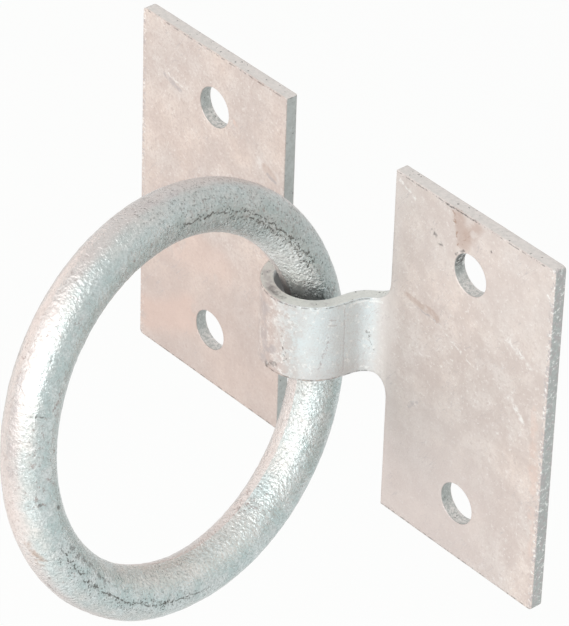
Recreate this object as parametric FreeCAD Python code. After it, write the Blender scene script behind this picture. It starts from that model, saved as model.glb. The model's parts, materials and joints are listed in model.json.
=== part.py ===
"""Mooring ring on a wall plate: a welded round ring that swings in an eye folded out of a flat steel plate.

The plate is one blank. Two rectangular wings lie flat on the wall, each with two bolt holes, and the narrow
strap between them is folded forward into an upright eye. The ring's wire runs down through the eye.

Frame: millimetres, +X along the plate, +Z up the wall, +Y into the wall. The origin is the centre of the
bolt pattern, on the plate's back face.
"""
import FreeCAD, Part

import math
import os

from FreeCAD import Vector

# Ring
RING_OUTER_DIAMETER = 100.0
WIRE_DIAMETER = 12.2
WELD_SWELL = 0.2  # how far the weld stands proud of the wire
WELD_LENGTH = 30.0  # along the wire
WELD_BELOW_FRONT = 67.0  # degrees round the ring, from its outermost point down to the weld

# How the stored ring stands in its eye
RING_SWING = 5.5  # degrees that it has swung towards +X from square to the wall
RING_LEAN = 8.9  # degrees that its top leans towards -X, on the play in the eye
RING_DROOP = 2.1  # how far it has slid down through the eye
RING_SETBACK = 1.1  # how far the wire's nearest point to the wall stands behind the swing axis

# Plate
SHEET_THICKNESS = 3.2
WING_WIDTH = 50.0
WING_HEIGHT = 90.0
WING_CORNER_RADIUS = 1.0
HOLE_DIAMETER = 9.8
HOLE_FROM_INNER_EDGE = 24.5
HOLE_FROM_TOP_EDGE = 14.5
EDGE_RADIUS = 0.3  # the zinc rounds the sheared edges and the hole rims by this much

# Strap and eye
STRAP_HEIGHT = 20.0
NOTCH_CORNER_RADIUS = 5.5  # where the strap meets the wings, measured on the flat blank
ROOT_BEND_RADIUS = 5.8  # hollow side of the bend from wing to leg
LEG_LENGTH = 3.5  # straight part between the root bend and the eye
SEAT_GAP = 0.1  # least free space between the wire and each wall of the eye, with the ring folded down
FOLD_GAP = 0.4  # free space between the wings and the ring folded down on them

# How the model is drawn
CURVE_STEPS = 8  # spans between the points of a fitted curve, or between the sections of a loft
SHARP_ANGLE = 45.0  # degrees between two faces, past which the edge between them is a sheared one
OVERCUT = 0.5  # how far a cutting shape runs past the sheet

# Sizes that follow
origin = Vector(0, 0, 0)
plate_across = Vector(1, 0, 0)
plate_up = Vector(0, 0, 1)
wire_radius = WIRE_DIAMETER / 2
ring_radius = RING_OUTER_DIAMETER / 2 - wire_radius
half_sheet = SHEET_THICKNESS / 2
half_height = WING_HEIGHT / 2
half_strap = STRAP_HEIGHT / 2
lean = math.radians(RING_LEAN)
swing_direction = Vector(-math.sin(lean), 0, math.cos(lean))


def wall_reach(wall, fold):
    """How far from the swing axis an eye wall stands that just clears the ring folded down to one side.

    The wall and the fold are each 1 for +X or -1 for -X. The wall on the fold's side stands in the ring's
    hole, where its rim furthest from the level of the ring's middle is the tight place. The other wall stands
    outside the ring, where the place nearest that level is. The lean lifts the middle in one fold and lowers
    it in the other.
    """
    swung_out = fold * (ring_radius - RING_SETBACK)
    middle_across = abs(swung_out * math.cos(lean) + RING_DROOP * math.sin(lean))
    middle_up = abs(swung_out * math.sin(lean) - RING_DROOP * math.cos(lean))
    if wall == fold:
        hole_radius = ring_radius - wire_radius - SEAT_GAP
        return middle_across - math.sqrt(hole_radius**2 - (middle_up + half_strap) ** 2)
    outer_radius = ring_radius + wire_radius + SEAT_GAP
    return math.sqrt(outer_radius**2 - max(0.0, middle_up - half_strap) ** 2) - middle_across


# The swing axis stands off the eye's middle, so that each wall just clears the ring in its tighter fold.
right_reach = max(wall_reach(1, 1), wall_reach(1, -1))
left_reach = max(wall_reach(-1, 1), wall_reach(-1, -1))
eye_inner_radius = (left_reach + right_reach) / 2
swing_offset = (left_reach - right_reach) / 2
eye_middle_radius = eye_inner_radius + half_sheet
eye_centre = Vector(0, -(SHEET_THICKNESS + FOLD_GAP + wire_radius), 0)
swing_centre = eye_centre + Vector(swing_offset, 0, 0)

# The leg is the line that touches the root bend on one side and the eye on the other.
root_middle_radius = ROOT_BEND_RADIUS + half_sheet
root_centre_y = -half_sheet - root_middle_radius
centre_rise = eye_centre.y - root_centre_y
centre_distance = math.hypot(root_middle_radius + eye_middle_radius, LEG_LENGTH)
half_gap = math.sqrt(centre_distance**2 - centre_rise**2)
root_turn = math.acos(LEG_LENGTH / centre_distance) - math.atan2(centre_rise, half_gap)
root_centre = Vector(half_gap, root_centre_y, 0)
corner_turn = NOTCH_CORNER_RADIUS / root_middle_radius
hole_x = half_gap + HOLE_FROM_INNER_EDGE
hole_z = half_height - HOLE_FROM_TOP_EDGE


def root_point(radius, turn, z=0.0):
    """A point on the right root bend, at a radius from its centre and an angle round from the wing."""
    return root_centre + Vector(-radius * math.sin(turn), radius * math.cos(turn), z)


def eye_point(radius, angle):
    """A point round the eye, at a radius from its centre and an angle from its nose towards +X."""
    return eye_centre + Vector(radius * math.sin(angle), -radius * math.cos(angle), 0)


def mirrored(point):
    """The same point on the other side of the plate's middle."""
    return Vector(-point.x, point.y, point.z)


def arc(first, middle, last):
    """An arc edge through three points."""
    return Part.Arc(first, middle, last).toShape()


def line(first, last):
    """A straight edge."""
    return Part.LineSegment(first, last).toShape()


def strap_face(side, first_turn):
    """One face of the strap from right to left, as edges. side is 1 for the front and -1 for the back."""
    root_radius = root_middle_radius - side * half_sheet
    eye_radius = eye_middle_radius + side * half_sheet
    start = root_point(root_radius, first_turn)
    bend_middle = root_point(root_radius, (first_turn + root_turn) / 2)
    bend_end = root_point(root_radius, root_turn)
    eye_start = eye_point(eye_radius, root_turn)
    return [
        arc(start, bend_middle, bend_end),
        line(bend_end, eye_start),
        arc(eye_start, eye_point(eye_radius, 0), mirrored(eye_start)),
        line(mirrored(eye_start), mirrored(bend_end)),
        arc(mirrored(bend_end), mirrored(bend_middle), mirrored(start)),
    ]


def folded_strip(first_turn, height):
    """The folded strap of one even height, from an angle on its right root bend to the same on its left."""
    front = strap_face(1, first_turn)
    back = strap_face(-1, first_turn)
    right_end = line(back[0].Vertexes[0].Point, front[0].Vertexes[0].Point)
    left_end = line(mirrored(front[0].Vertexes[0].Point), mirrored(back[0].Vertexes[0].Point))
    outline = Part.Wire(Part.__sortEdges__([*front, left_end, *back, right_end]))
    strip = Part.Face(outline).extrude(plate_up * height)
    strip.translate(plate_up * (-height / 2))
    return strip


def notch_corner_curve(radius):
    """The quarter circle of a notch corner, wrapped off the flat blank on to the root bend at a radius."""
    points = []
    for step in range(CURVE_STEPS + 1):
        angle = math.pi / 2 * step / CURVE_STEPS
        along_blank = NOTCH_CORNER_RADIUS * (1 - math.cos(angle))
        height = half_strap + NOTCH_CORNER_RADIUS * (1 - math.sin(angle))
        points.append(root_point(radius, along_blank / root_middle_radius, height))
    curve = Part.BSplineCurve()
    end_tangent = Vector(-math.cos(corner_turn), -math.sin(corner_turn), 0)
    curve.interpolate(points, InitialTangent=-plate_up, FinalTangent=end_tangent)
    return curve.toShape()


def notch_corner_waste():
    """What the notch takes off above the upper right corner, cut square to the bent sheet."""
    inside = notch_corner_curve(ROOT_BEND_RADIUS - OVERCUT)
    outside = notch_corner_curve(ROOT_BEND_RADIUS + SHEET_THICKNESS + OVERCUT)
    wall = Part.makeRuledSurface(inside, outside)
    return wall.extrude(plate_up * (NOTCH_CORNER_RADIUS + OVERCUT))


def strap():
    """The strap from wing to wing, with its four ends sweeping out round the notch corners."""
    flared_height = STRAP_HEIGHT + 2 * NOTCH_CORNER_RADIUS
    flares = folded_strip(0, flared_height).cut(folded_strip(corner_turn, 2 * flared_height))
    waste = notch_corner_waste()
    left_waste = waste.mirror(origin, plate_across)
    for piece in (waste, left_waste):
        flares = flares.cut([piece, piece.mirror(origin, plate_up)])
    return folded_strip(corner_turn, STRAP_HEIGHT).fuse(flares)


def wing():
    """The right wing: a flat plate with slightly round corners and two bolt holes."""
    corner = Vector(half_gap, -SHEET_THICKNESS, -half_height)
    plate = Part.makeBox(WING_WIDTH, SHEET_THICKNESS, WING_HEIGHT, corner)
    corner_edges = [edge for edge in plate.Edges if edge.BoundBox.YLength > half_sheet]
    plate = plate.makeFillet(WING_CORNER_RADIUS, corner_edges)
    for z in (-hole_z, hole_z):
        hole_front = Vector(hole_x, -SHEET_THICKNESS, z)
        plate = plate.cut(Part.makeCylinder(HOLE_DIAMETER / 2, SHEET_THICKNESS, hole_front, Vector(0, 1, 0)))
    return plate


def sharp_edges(solid):
    """The edges where two faces meet at a corner, which on this plate are the sheared ones and hole rims."""
    sharp = []
    for edge in solid.Edges:
        middle = edge.valueAt((edge.FirstParameter + edge.LastParameter) / 2)
        faces = solid.ancestorsOfType(edge, Part.Face)
        normals = [face.normalAt(*face.Surface.parameter(middle)) for face in faces]
        if len(normals) == 2 and normals[0].getAngle(normals[1]) > math.radians(SHARP_ANGLE):
            sharp.append(edge)
    return sharp


def eye_plate():
    """The whole folded plate."""
    right_wing = wing()
    left_wing = right_wing.mirror(origin, plate_across)
    plate = strap().fuse([right_wing, left_wing]).removeSplitter().Solids[0]
    return plate.makeFillet(EDGE_RADIUS, sharp_edges(plate)).Solids[0]


def ring_section(degrees_up, radius):
    """The wire's section, at an angle round the ring from its outermost point towards the top."""
    outermost = Vector(0, -ring_radius, 0)
    section = Part.Wire(Part.makeCircle(radius, outermost, plate_up))
    section.rotate(origin, plate_across, -degrees_up)
    return section


def ring():
    """The closed ring, round its own centre, with the swell of its weld."""
    weld_turn = math.degrees(WELD_LENGTH / ring_radius)
    sections = []
    for step in range(CURVE_STEPS + 1):
        share = step / CURVE_STEPS
        swell = WELD_SWELL * (1 - math.cos(2 * math.pi * share)) / 2
        degrees_up = -WELD_BELOW_FRONT + weld_turn * (share - 0.5)
        sections.append(ring_section(degrees_up, wire_radius + swell))
    weld = Part.makeLoft(sections, True)
    rest_of_ring = Part.Face(sections[-1]).revolve(origin, plate_across, weld_turn - 360)
    return rest_of_ring.fuse(weld).Solids[0]


def stored_ring():
    """The ring as it stands in its eye."""
    shape = ring()
    shape.translate(Vector(0, RING_SETBACK - ring_radius, 0))
    shape.rotate(origin, Vector(0, 1, 0), -RING_LEAN)
    shape.rotate(origin, swing_direction, RING_SWING)
    shape.translate(swing_centre - swing_direction * RING_DROOP)
    return shape


def main():
    """Builds each piece and writes it to parts/."""
    os.makedirs("parts", exist_ok=True)
    for name, shape in (("eye_plate", eye_plate()), ("ring", stored_ring())):
        shape.exportStep(os.path.join("parts", name + ".step"))
        print(name, shape.ShapeType, shape.isValid(), len(shape.Faces), round(shape.Volume, 1))
    print("eye inner radius", round(eye_inner_radius, 3), "between the wings", round(2 * half_gap, 3))
    print("leg turned", round(math.degrees(root_turn), 2), "holes apart", round(2 * hole_x, 3), 2 * hole_z)
    print("swing axis through", swing_centre, "along", swing_direction)


main()
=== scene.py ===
"""Looks of the mooring ring: a hot-dip galvanised eye plate, and the round ring that swings in its eye.

The plate is made as in the workshop. A flat blank is notched, punched and rounded, then folded forward into
its eye. The ring is a round bar bent full circle and welded. Lengths are in metres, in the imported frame.
"""

import json
import logging
import math
from contextlib import contextmanager
from dataclasses import dataclass
from enum import Enum
from functools import partial, reduce
from typing import Any, Callable, Iterable, Iterator

import bpy
from mathutils import Matrix, Vector


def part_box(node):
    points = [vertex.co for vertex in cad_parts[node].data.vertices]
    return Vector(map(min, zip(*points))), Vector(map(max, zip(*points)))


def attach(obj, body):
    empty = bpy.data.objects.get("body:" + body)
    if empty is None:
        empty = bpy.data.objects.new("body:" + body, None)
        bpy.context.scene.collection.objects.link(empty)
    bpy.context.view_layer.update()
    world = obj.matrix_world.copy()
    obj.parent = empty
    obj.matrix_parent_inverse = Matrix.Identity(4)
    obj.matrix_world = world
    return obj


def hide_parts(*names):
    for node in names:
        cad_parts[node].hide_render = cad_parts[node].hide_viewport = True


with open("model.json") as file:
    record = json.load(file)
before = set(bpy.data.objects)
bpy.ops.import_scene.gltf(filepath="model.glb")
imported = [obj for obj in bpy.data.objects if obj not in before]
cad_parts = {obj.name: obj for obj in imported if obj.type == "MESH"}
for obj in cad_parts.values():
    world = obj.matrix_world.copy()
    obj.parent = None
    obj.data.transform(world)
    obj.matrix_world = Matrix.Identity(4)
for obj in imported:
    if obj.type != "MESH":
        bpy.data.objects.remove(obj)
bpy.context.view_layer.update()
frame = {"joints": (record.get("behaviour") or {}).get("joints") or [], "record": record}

log = logging.getLogger("mooring_ring")

MM = 0.001
HINGE = frame["joints"][0]
BOLTS = next(mount for mount in frame["record"]["mounts"] if mount["kind"] == "bolt_pattern")["dims"]

Colour = tuple[float, float, float]
Place = tuple[float, float, float]
Ramp = tuple[float, float]  # where a smooth step starts and where it is full
Band = tuple[float, float, float, float]  # where a band starts, is full, stays full and ends
Piece = bpy.types.Object
Socket = bpy.types.NodeSocket


# Handling pieces


def pick(piece: Piece) -> None:
    """Selects one piece alone and makes it the active one.

    Args:
        piece: the piece.
    """
    bpy.ops.object.select_all(action="DESELECT")
    piece.select_set(True)
    bpy.context.view_layer.objects.active = piece


@contextmanager
def editing(piece: Piece, mode: str = "VERT") -> Iterator[None]:
    """Keeps a piece in edit mode for the length of a with block.

    Args:
        piece: the piece to edit.
        mode: what is selected in it, VERT, EDGE or FACE.
    """
    pick(piece)
    bpy.ops.object.mode_set(mode="EDIT")
    bpy.ops.mesh.select_mode(type=mode)
    yield
    bpy.ops.object.mode_set(mode="OBJECT")


def round_edges(
    piece: Piece, wanted: Callable[[Vector, Vector], bool], radius: float, segments: int
) -> None:
    """Rounds the edges whose two ends pass a test.

    Args:
        piece: the piece.
        wanted: takes an edge's two ends and says whether it is rounded.
        radius: the rounding's radius.
        segments: how many faces the rounding has.
    """
    with editing(piece, "EDGE"):
        bpy.ops.mesh.select_all(action="DESELECT")
    points = piece.data.vertices
    for edge in piece.data.edges:
        first, last = (points[index].co for index in edge.vertices)
        edge.select = wanted(first, last)
    with editing(piece, "EDGE"):
        bpy.ops.mesh.bevel(offset=radius, segments=segments, affect="EDGES")


def apply_modifier(piece: Piece, kind: str, **settings: Any) -> None:
    """Puts a modifier on a piece, sets it up and applies it.

    Args:
        piece: the piece.
        kind: Blender's type name of the modifier.
        settings: the modifier's properties.
    """
    pick(piece)
    modifier = piece.modifiers.new(kind.lower(), kind)
    for name, value in settings.items():
        setattr(modifier, name, value)
    bpy.ops.object.modifier_apply(modifier=modifier.name)


def apply_place(piece: Piece) -> None:
    """Moves a piece's place, turn and scale from its object into its mesh."""
    pick(piece)
    bpy.ops.object.transform_apply(location=True, rotation=True, scale=True)


def join_points(piece: Piece, apart: float) -> None:
    """Joins points that are hardly apart and turns all faces outward.

    Args:
        piece: the piece.
        apart: how far apart joined points can be.
    """
    with editing(piece):
        bpy.ops.mesh.select_all(action="SELECT")
        bpy.ops.mesh.remove_doubles(threshold=apart)
        bpy.ops.mesh.normals_make_consistent(inside=False)


def block(name: str, centre: Place, size: Place) -> Piece:
    """Adds a rectangular block.

    Args:
        name: its name.
        centre: its middle.
        size: its length along each axis.

    Returns:
        The block, with its place in its mesh.
    """
    bpy.ops.mesh.primitive_cube_add(size=1, location=centre, scale=size)
    piece = bpy.context.object
    piece.name = name
    apply_place(piece)
    return piece


def store_weights(piece: Piece, name: str, weight: Callable[[Vector], float]) -> None:
    """Makes a vertex group whose weights follow from each point's place.

    Args:
        piece: the piece.
        name: the group's name.
        weight: takes a point and gives its weight.
    """
    group = piece.vertex_groups.new(name=name)
    for vertex in piece.data.vertices:
        share = weight(vertex.co)
        if share > 0:
            group.add([vertex.index], min(share, 1.0), "REPLACE")


class Relief(Enum):
    """Kinds of unevenness in the zinc, as the texture that sinks it."""

    WAVES = "CLOUDS"
    DIMPLES = "VORONOI"


TEXTURE_TOP = 0.85  # what the relief's textures hardly ever pass


def sink_surface(
    piece: Piece, kind: Relief, spacing: float, depth: float, group: str = ""
) -> None:
    """Sinks a surface unevenly, and nowhere raises it.

    Args:
        piece: the piece.
        kind: the kind of unevenness.
        spacing: distance from one hollow to the next.
        depth: how far the deepest hollow sinks.
        group: the vertex group that it is held to, or none for all over.
    """
    texture = bpy.data.textures.new(kind.name.lower(), kind.value)
    texture.noise_scale = spacing
    settings = {"texture": texture, "texture_coords": "LOCAL", "mid_level": TEXTURE_TOP}
    apply_modifier(piece, "DISPLACE", strength=depth, vertex_group=group, **settings)


def smoothed(value: float, low: float, high: float) -> float:
    """Goes smoothly from 0 at low to 1 at high, which may be the lower of the two."""
    share = min(max((value - low) / (high - low), 0.0), 1.0)
    return share * share * (3 - 2 * share)


# Node graphs and the shader groups that the finishes share


class Graph:
    """Adds nodes to one node tree and links them up."""

    def __init__(self, tree: bpy.types.NodeTree) -> None:
        """Takes the tree to add to."""
        self.tree = tree

    def feed(self, socket: Socket, value: Any) -> None:
        """Links an output to an input, or sets the input to a plain value.

        Args:
            socket: the input.
            value: an output socket, a number, a colour, a tint or a vector.
        """
        if isinstance(value, Enum):
            value = value.value
        if isinstance(value, Socket):
            self.tree.links.new(value, socket)
        elif socket.type == "RGBA" and len(value) == 3:
            socket.default_value = (*value, 1.0)
        else:
            socket.default_value = value

    def add(self, kind: str, inputs: dict[Any, Any] | None = None, **settings: Any) -> Any:
        """Adds one node.

        Args:
            kind: its type name without the word ShaderNode in front.
            inputs: what feeds its inputs, by name or number.
            settings: its properties.

        Returns:
            Its outputs.
        """
        node = self.tree.nodes.new("ShaderNode" + kind)
        for name, value in settings.items():
            setattr(node, name, value)
        for key, value in (inputs or {}).items():
            self.feed(node.inputs[key], value)
        return node.outputs

    def maths(self, operation: str, *values: Any) -> Socket:
        """Adds a Math node and returns its value."""
        return self.add("Math", dict(enumerate(values)), operation=operation)[0]

    def product(self, *values: Any) -> Any:
        """Multiplies numbers."""
        return reduce(partial(self.maths, "MULTIPLY"), values)

    def most(self, *values: Any) -> Any:
        """Gives the largest of some numbers."""
        return reduce(partial(self.maths, "MAXIMUM"), values)

    def linear(self, value: Any, factor: Any, addend: Any) -> Socket:
        """Multiplies a number by a factor and adds to it."""
        return self.maths("MULTIPLY_ADD", value, factor, addend)

    def unsigned(self, value: Any) -> Socket:
        """Drops a number's sign."""
        return self.maths("ABSOLUTE", value)

    def vector(self, operation: str, *values: Any) -> Socket:
        """Adds a Vector Math node and returns its vector, or its number for a length, distance or product.

        Args:
            operation: its operation.
            values: what feeds its inputs, in order.

        Returns:
            The vector or the number.
        """
        outputs = self.add("VectorMath", dict(enumerate(values)), operation=operation)
        lone = operation in ("DOT_PRODUCT", "LENGTH", "DISTANCE")
        return outputs["Value" if lone else "Vector"]

    def scaled(self, vector: Any, factor: Any) -> Socket:
        """Multiplies a vector by a number."""
        return self.add("VectorMath", {0: vector, "Scale": factor}, operation="SCALE")[0]

    def parts(self, vector: Any) -> list[Socket]:
        """Splits a vector into its X, Y and Z."""
        return list(self.add("SeparateXYZ", {0: vector}))

    def step(self, value: Any, low: Any, high: Any) -> Socket:
        """Goes smoothly from 0 at low to 1 at high, which may be the lower of the two."""
        inputs = {"Value": value, "From Min": low, "From Max": high}
        return self.add("MapRange", inputs, interpolation_type="SMOOTHSTEP")[0]

    def band(self, value: Any, band: Band) -> Socket:
        """Goes from 0 to 1 between a band's first two numbers, and back to 0 between its last two."""
        start, full, still, end = band
        return self.product(self.step(value, start, full), self.step(value, end, still))

    def blend(self, share: Any, first: Any, second: Any) -> Socket:
        """Mixes two colours."""
        return self.add("Mix", {0: share, 6: first, 7: second}, data_type="RGBA", blend_type="MIX")[2]

    def between(self, share: Any, first: Any, second: Any) -> Socket:
        """Mixes two numbers."""
        return self.add("Mix", {0: share, 2: first, 3: second}, data_type="FLOAT")[0]

    def noise(self, place: Any, size: Any, detail: float = 2.0, rough: float = 0.5) -> Socket:
        """Adds a noise.

        Args:
            place: the coordinates that it is read at.
            size: how large its patches are.
            detail: how many finer noises are added to it.
            rough: how strong those are.

        Returns:
            Its value, about 0.5 on average.
        """
        scale = self.maths("DIVIDE", 1.0, size)
        inputs = {"Vector": place, "Scale": scale, "Detail": detail, "Roughness": rough}
        return self.add("TexNoise", inputs)[0]

    def strayed(self, place: Any, scale: Any, detail: float, reach: Any) -> Socket:
        """Moves places about by a noise.

        Args:
            place: the places.
            scale: the noise's scale.
            detail: how many finer noises are added to it.
            reach: how far places stray.

        Returns:
            The moved places.
        """
        noise = self.add("TexNoise", {"Vector": place, "Scale": scale, "Detail": detail})[1]
        centred = self.vector("SUBTRACT", noise, (0.5, 0.5, 0.5))
        return self.vector("ADD", place, self.scaled(centred, reach))


def new_group(name: str, inputs: dict[str, Any], outputs: Iterable[str]) -> tuple[Graph, Any, Any]:
    """Starts a shader node group.

    Args:
        name: its name.
        inputs: its inputs' names and first values, where a tuple of three makes a vector.
        outputs: the names of its outputs, which are numbers.

    Returns:
        Its graph, the outputs of its input node and the inputs of its output node.
    """
    tree = bpy.data.node_groups.new(name, "ShaderNodeTree")
    for label, value in inputs.items():
        kind = "NodeSocketVector" if isinstance(value, tuple) else "NodeSocketFloat"
        tree.interface.new_socket(label, in_out="INPUT", socket_type=kind).default_value = value
    for label in outputs:
        tree.interface.new_socket(label, in_out="OUTPUT", socket_type="NodeSocketFloat")
    entry = tree.nodes.new("NodeGroupInput")
    leave = tree.nodes.new("NodeGroupOutput")
    return Graph(tree), entry.outputs, leave.inputs


ORIGIN = (0.0, 0.0, 0.0)


def zinc_skin_group() -> bpy.types.NodeTree:
    """Builds the group for a zinc coat: wide clouds, small flecks and the height of its grain.

    Returns:
        Its node tree.
    """
    inputs = {"Place": ORIGIN, "Cloud Size": 0.01, "Fleck Size": 0.001, "Grain Size": 0.0005}
    graph, given, result = new_group("zinc_skin", inputs, ("Cloud", "Fleck", "Grain"))
    cloud = graph.noise(given["Place"], given["Cloud Size"], 5.0, 0.55)
    fleck = graph.noise(given["Place"], given["Fleck Size"], 3.0, 0.6)
    grain = graph.noise(given["Place"], given["Grain Size"], 2.0, 0.6)
    graph.feed(result["Cloud"], graph.step(cloud, 0.34, 0.66))
    graph.feed(result["Fleck"], graph.step(fleck, 0.56, 0.72))
    graph.feed(result["Grain"], grain)
    return graph.tree


def specks_group() -> bpy.types.NodeTree:
    """Builds the group for scattered specks, such as pits, nicks and dross.

    Returns:
        Its node tree.
    """
    inputs = {"Place": ORIGIN, "Spacing": 0.001, "Radius": 0.3, "Share": 0.3}
    graph, given, result = new_group("specks", inputs, ("Mask",))
    moved = graph.strayed(given["Place"], 3000.0, 2.0, given["Spacing"])
    scale = graph.maths("DIVIDE", 1.0, given["Spacing"])
    cells = graph.add("TexVoronoi", {"Vector": moved, "Scale": scale})
    chosen = graph.maths("LESS_THAN", graph.parts(cells["Color"])[0], given["Share"])
    disc = graph.step(cells["Distance"], given["Radius"], graph.product(given["Radius"], 0.55))
    graph.feed(result["Mask"], graph.product(disc, chosen))
    return graph.tree


def scratches_group() -> bpy.types.NodeTree:
    """Builds the group for fine scratches, all along the X of the coordinates that it is given.

    Returns:
        Its node tree.
    """
    inputs = {"Place": ORIGIN, "Length": 0.01, "Spacing": 0.0008, "Share": 0.3}
    graph, given, result = new_group("scratches", inputs, ("Mask",))
    sizes = (given["Length"], given["Spacing"], given["Spacing"])
    shares = [graph.maths("DIVIDE", part, size) for part, size in zip(graph.parts(given["Place"]), sizes)]
    stretched = graph.add("CombineXYZ", dict(enumerate(shares)))[0]
    lines = graph.add("TexNoise", {"Vector": stretched, "Scale": 1.0, "Detail": 1.0})[0]
    thin = graph.step(graph.unsigned(graph.maths("SUBTRACT", lines, 0.5)), 0.012, 0.004)
    patches = graph.noise(given["Place"], given["Length"])
    limit = graph.linear(given["Share"], -0.5, 0.75)
    shown = graph.step(patches, limit, graph.maths("ADD", limit, 0.06))
    graph.feed(result["Mask"], graph.product(thin, shown))
    return graph.tree


def streak_group() -> bpy.types.NodeTree:
    """Builds the group for one ragged mark between two places, which is a spot where they are the same.

    Returns:
        Its node tree.
    """
    inputs = {"Place": ORIGIN, "Start": ORIGIN, "End": ORIGIN, "Width": 0.001, "Waver": 0.001, "Gaps": 0.3}
    graph, given, result = new_group("streak", inputs, ("Mask",))
    size = graph.linear(given["Width"], 2.0, 0.6 * MM)
    moved = graph.strayed(given["Place"], graph.maths("DIVIDE", 1.0, size), 3.0, given["Waver"])
    from_start = graph.vector("SUBTRACT", moved, given["Start"])
    whole = graph.vector("SUBTRACT", given["End"], given["Start"])
    length = graph.maths("ADD", graph.vector("DOT_PRODUCT", whole, whole), 1e-12)
    share = graph.maths("DIVIDE", graph.vector("DOT_PRODUCT", from_start, whole), length)
    nearest = graph.scaled(whole, graph.add("Clamp", {"Value": share})[0])
    away = graph.vector("DISTANCE", from_start, nearest)
    body = graph.step(away, given["Width"], graph.product(given["Width"], 0.3))
    holes = graph.noise(given["Place"], graph.product(size, 0.6), 3.0, 0.6)
    kept = graph.step(holes, graph.product(given["Gaps"], 0.8), graph.maths("ADD", given["Gaps"], 0.1))
    graph.feed(result["Mask"], graph.product(body, kept))
    return graph.tree


class SharedGroups:
    """The shader groups, built once and placed in each finish."""

    def __init__(self) -> None:
        """Builds every group."""
        self.skin = zinc_skin_group()
        self.specks = specks_group()
        self.scratches = scratches_group()
        self.streak = streak_group()


# Finishes


class Tint(Enum):
    """Colours of the marks on the zinc."""

    SOOT = (0.12, 0.115, 0.11)
    RUST = (0.36, 0.22, 0.15)
    STAIN = (0.50, 0.375, 0.32)
    SHADOW = (0.47, 0.43, 0.43)
    WHITE = (0.90, 0.90, 0.88)
    PINK = (0.72, 0.55, 0.48)


@dataclass(frozen=True)
class Mark:
    """One ragged mark on a piece.

    Attributes:
        tint: its colour.
        start: the two numbers that its piece places its start by.
        end: the same for its end.
        width: half of its width, in millimetres.
        strength: how far it hides the zinc.
        waver: how far its outline strays, in millimetres.
        gaps: how broken it is, from 0 to 1.
    """

    tint: Tint
    start: tuple[float, float]
    end: tuple[float, float]
    width: float
    strength: float
    waver: float
    gaps: float


class Zone(Enum):
    """The parts of the plate that have a material of their own."""

    REST = "galvanised_back_and_edges"
    LEFT_WING = "galvanised_left_wing"
    RIGHT_WING = "galvanised_right_wing"
    STRAP = "galvanised_strap"


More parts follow.
